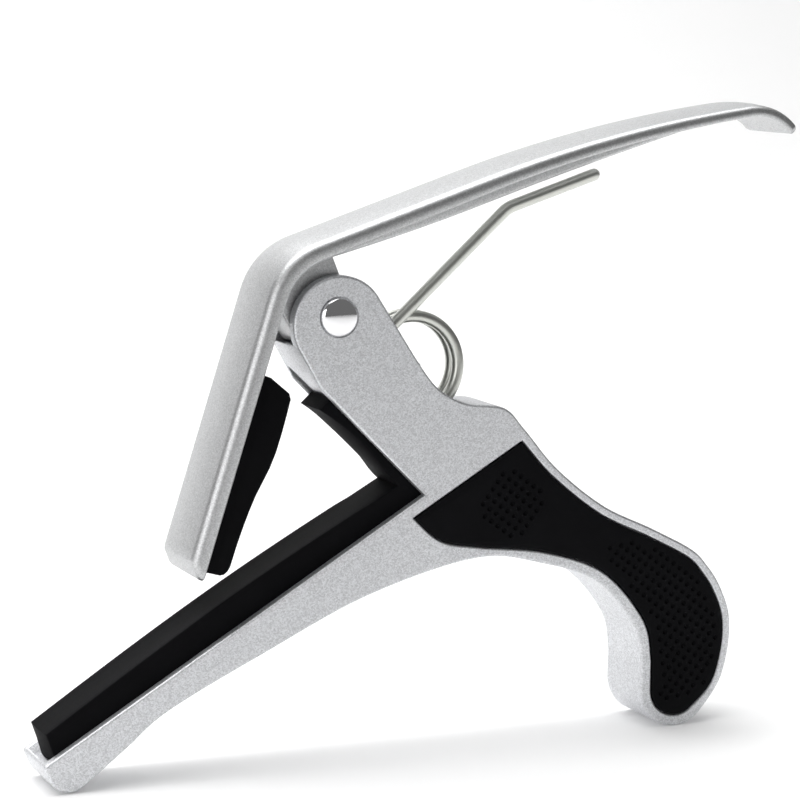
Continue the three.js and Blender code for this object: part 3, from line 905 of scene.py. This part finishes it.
def dimples_tree():
    tree, given, result = new_tree(
        "ball_field",
        [("Pitch", "Float"), ("Rows", "Int"), ("Dot diameter", "Float"),
         ("Dot height", "Float"), ("Centre", "Vector"), ("Turn", "Float"),
         ("Finish", "Material")],
    )

    def maths(operation, a, b=None):
        made = add(tree, "ShaderNodeMath", {"operation": operation})
        for socket, value in zip(made.inputs, (a, b)):
            if isinstance(value, bpy.types.NodeSocket):
                tree.links.new(value, socket)
            elif value is not None:
                socket.default_value = value
        return made.outputs[0]

    index = tree.nodes.new("GeometryNodeInputIndex").outputs[0]
    row = maths("FLOOR", maths("DIVIDE", index, given["Rows"]))
    column = maths("MODULO", index, given["Rows"])
    middle = maths("MULTIPLY", given["Rows"], 0.5)
    x = maths("MULTIPLY", maths("SUBTRACT", column, middle), given["Pitch"])
    z = maths("MULTIPLY", maths("SUBTRACT", row, middle), given["Pitch"])
    spot = add(tree, "ShaderNodeCombineXYZ", X=x, Z=z)
    turned = add(tree, "ShaderNodeVectorRotate", {"rotation_type": "Y_AXIS"},
                 Vector=spot.outputs[0], Angle=given["Turn"])
    placed = add(tree, "ShaderNodeVectorMath", {"operation": "ADD"})
    tree.links.new(turned.outputs[0], placed.inputs[0])
    tree.links.new(given["Centre"], placed.inputs[1])
    points = add(tree, "GeometryNodePoints", Count=maths("MULTIPLY", given["Rows"], given["Rows"]),
                 Position=placed.outputs[0])
    near = add(tree, "GeometryNodeProximity", {"target_element": "FACES"})
    tree.links.new(given["Geometry"], near.inputs[0])
    off = maths("GREATER_THAN", near.outputs["Distance"], 0.05 * MM)
    kept = add(tree, "GeometryNodeDeleteGeometry", {"domain": "POINT"},
               Geometry=points.outputs[0], Selection=off)
    ball = add(tree, "GeometryNodeMeshUVSphere", Segments=10, Rings=6,
               Radius=maths("MULTIPLY", given["Dot diameter"], 0.5))
    flatness = maths("DIVIDE", given["Dot height"], maths("MULTIPLY", given["Dot diameter"], 0.5))
    size = add(tree, "ShaderNodeCombineXYZ", X=1.0, Y=flatness, Z=1.0)
    dots = add(tree, "GeometryNodeInstanceOnPoints", Points=kept.outputs[0],
               Instance=ball.outputs[0], Scale=size.outputs[0])
    whole = add(tree, "GeometryNodeRealizeInstances", Geometry=dots.outputs[0])
    soft = add(tree, "GeometryNodeSetShadeSmooth", Geometry=whole.outputs[0])
    dressed = add(tree, "GeometryNodeSetMaterial", Geometry=soft.outputs[0],
                  Material=given["Finish"])
    tree.links.new(dressed.outputs[0], result)
    return tree


DIMPLES = dimples_tree()
print("dimple tree has", len(DIMPLES.nodes), "nodes")

# %% Grips
ROUND_FIELD = (Vector((28.5, -30.1)), 5.2)
HOOK_FIELD_TOP = -37.5
HOOK_FIELD_END = -64.0
FIELD_MARGIN = 1.3
DIMPLE_TURN = math.radians(37)
DIMPLE_PITCH = 1.38
DIMPLE_WIDTH = 0.85
DIMPLE_DEPTH = 0.38


def patch(name, outline, y):
    mesh = bpy.data.meshes.new(name)
    mesh.from_pydata([in_frame(p.x, y, p.y) for p in outline], [], [list(range(len(outline)))])
    return mesh


def hook_patch():
    """The part of the grip round the hook, a little inside its edge."""
    inner = inset(grip_outline, FIELD_MARGIN)
    return [Vector((p.x, min(max(p.y, HOOK_FIELD_END), HOOK_FIELD_TOP))) for p in inner
            if p.x > 44.5 and p.y < HOOK_FIELD_TOP + 2]


round_patch = [ROUND_FIELD[0] + heading(360 * i / 32) * ROUND_FIELD[1] for i in range(32)]
fields = ((round_patch, ROUND_FIELD[0], 12), (hook_patch(), Vector((54, -50)), 44))
for side, node in ((-1, "grip_front"), (1, "grip_back")):
    low, high = sorted((side * GRIP_BACK, side * GRIP_FACE))
    grip = rounded_slab(node + "_inlay", grip_outline, low, high, 0.4, GRIP_RUBBER)
    before = len(grip.data.polygons)
    for outline, centre, rows in fields:
        y = side * GRIP_FACE
        balls = run_tree("balls", patch("patch", outline, y), DIMPLES, {
            "Pitch": DIMPLE_PITCH * MM, "Rows": rows, "Dot diameter": DIMPLE_WIDTH * MM,
            "Dot height": DIMPLE_DEPTH * MM, "Centre": in_frame(centre.x, y, centre.y),
            "Turn": DIMPLE_TURN, "Finish": GRIP_RUBBER})
        combine(grip, balls, "DIFFERENCE")
    grip.data.shade_smooth()
    grip.data.set_sharp_from_angle(angle=math.radians(35))
    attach(grip, "frame")
    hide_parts(node)
    print(grip.name, before, "faces before its dimples and", len(grip.data.polygons), "after")

# %% [markdown]
# ## Studio
#
# The capo stands on its jaw tip and its hook, on a pale sweep of paper that rises behind it.
# A large soft light above gives the bright back of the lever and a soft shadow on the floor,
# and a small one at the left models the near side. The paper lets a little light through from
# below, as on a light table, which keeps the shadow pale and lifts the undersides. The room
# beyond is dim, so that polished metal has something dark to show above the horizon.

# %% Floor
PAPER_GLOW = 0.10


def plain(name, colour, rough):
    material, tree, shader, place = new_material(name)
    paper = add(tree, "ShaderNodeTexNoise", Vector=place, Scale=900.0, Detail=2.0)
    shade = ramp(tree, paper.outputs["Fac"], tuple(0.985 * c for c in colour), colour)
    tree.links.new(shade, shader.inputs["Base Color"])
    shader.inputs["Roughness"].default_value = rough
    shader.inputs["Emission Color"].default_value = (1, 1, 1, 1)
    shader.inputs["Emission Strength"].default_value = PAPER_GLOW
    return material


def sweep_of_paper():
    near, far, bend, top, half = -1.6, 1.1, 0.5, 1.8, 2.2
    profile = [(near, 0.0), (far - bend, 0.0)]
    profile += [(far - bend + bend * math.sin(math.pi / 2 * i / 10),
                 bend - bend * math.cos(math.pi / 2 * i / 10)) for i in range(1, 11)]
    profile.append((far, top))
    mesh = bpy.data.meshes.new("floor")
    points = [(x, y, z) for y, z in profile for x in (-half, half)]
    faces = [(2 * i, 2 * i + 1, 2 * i + 3, 2 * i + 2) for i in range(len(profile) - 1)]
    mesh.from_pydata(points, [], faces)
    mesh.shade_smooth()
    mesh.materials.append(plain("paper", (0.93, 0.93, 0.93), 0.8))
    floor = bpy.data.objects.new("floor", mesh)
    bpy.context.scene.collection.objects.link(floor)
    return floor


paper_sweep = sweep_of_paper()
print("paper reaches", paper_sweep.dimensions.z, "m up behind the capo")

# %% Lights


def area_light(name, place, target, width, height, power, colour=(1, 1, 1)):
    light = bpy.data.lights.new(name, "AREA")
    light.shape = "RECTANGLE"
    light.size, light.size_y = width, height
    light.energy = power
    light.color = colour
    lamp = bpy.data.objects.new(name, light)
    lamp.location = place
    lamp.rotation_euler = (Vector(target) - Vector(place)).to_track_quat("-Z", "Y").to_euler()
    bpy.context.scene.collection.objects.link(lamp)
    return lamp


AIM = (0, 0, 0.05)
area_light("overhead", (-0.15, 0.15, 1.0), AIM, 1.2, 1.1, 11.0)
area_light("backdrop_light", (0, 0.1, 1.25), (0, 1.1, 0.55), 1.6, 0.4, 7.5)
area_light("left_panel", (-0.70, -0.45, 0.22), AIM, 0.7, 0.5, 2.3)
world = bpy.data.worlds.new("studio")
bpy.context.scene.world = world
world.use_nodes = True
world.node_tree.nodes["Background"].inputs["Color"].default_value = (1, 1, 1, 1)
world.node_tree.nodes["Background"].inputs["Strength"].default_value = 0.15
bpy.context.scene.view_settings.view_transform = "Standard"

# %% [markdown]
# ## Camera
#
# A long lens from about 40 cm away keeps the capo's two sides nearly parallel, as in a
# catalogue picture. The camera looks slightly down and from the left, so that the tops of the
# pads, the end of the jaw and the inside of the hook all show.

# %% Camera
camera_data = bpy.data.cameras.new("camera")
camera_data.sensor_width = 36
camera_data.lens = 125.9
camera = bpy.data.objects.new("camera", camera_data)
camera.location = in_frame(-153.198, -390.0, 47.13)
view_line = Vector((0.3867, 0.9111, -0.1426))
camera.rotation_euler = view_line.to_track_quat("-Z", "Y").to_euler()
bpy.context.scene.collection.objects.link(camera)
bpy.context.scene.camera = camera
print("camera", round((camera.location - PIVOT).length, 3), "m from the rivet")
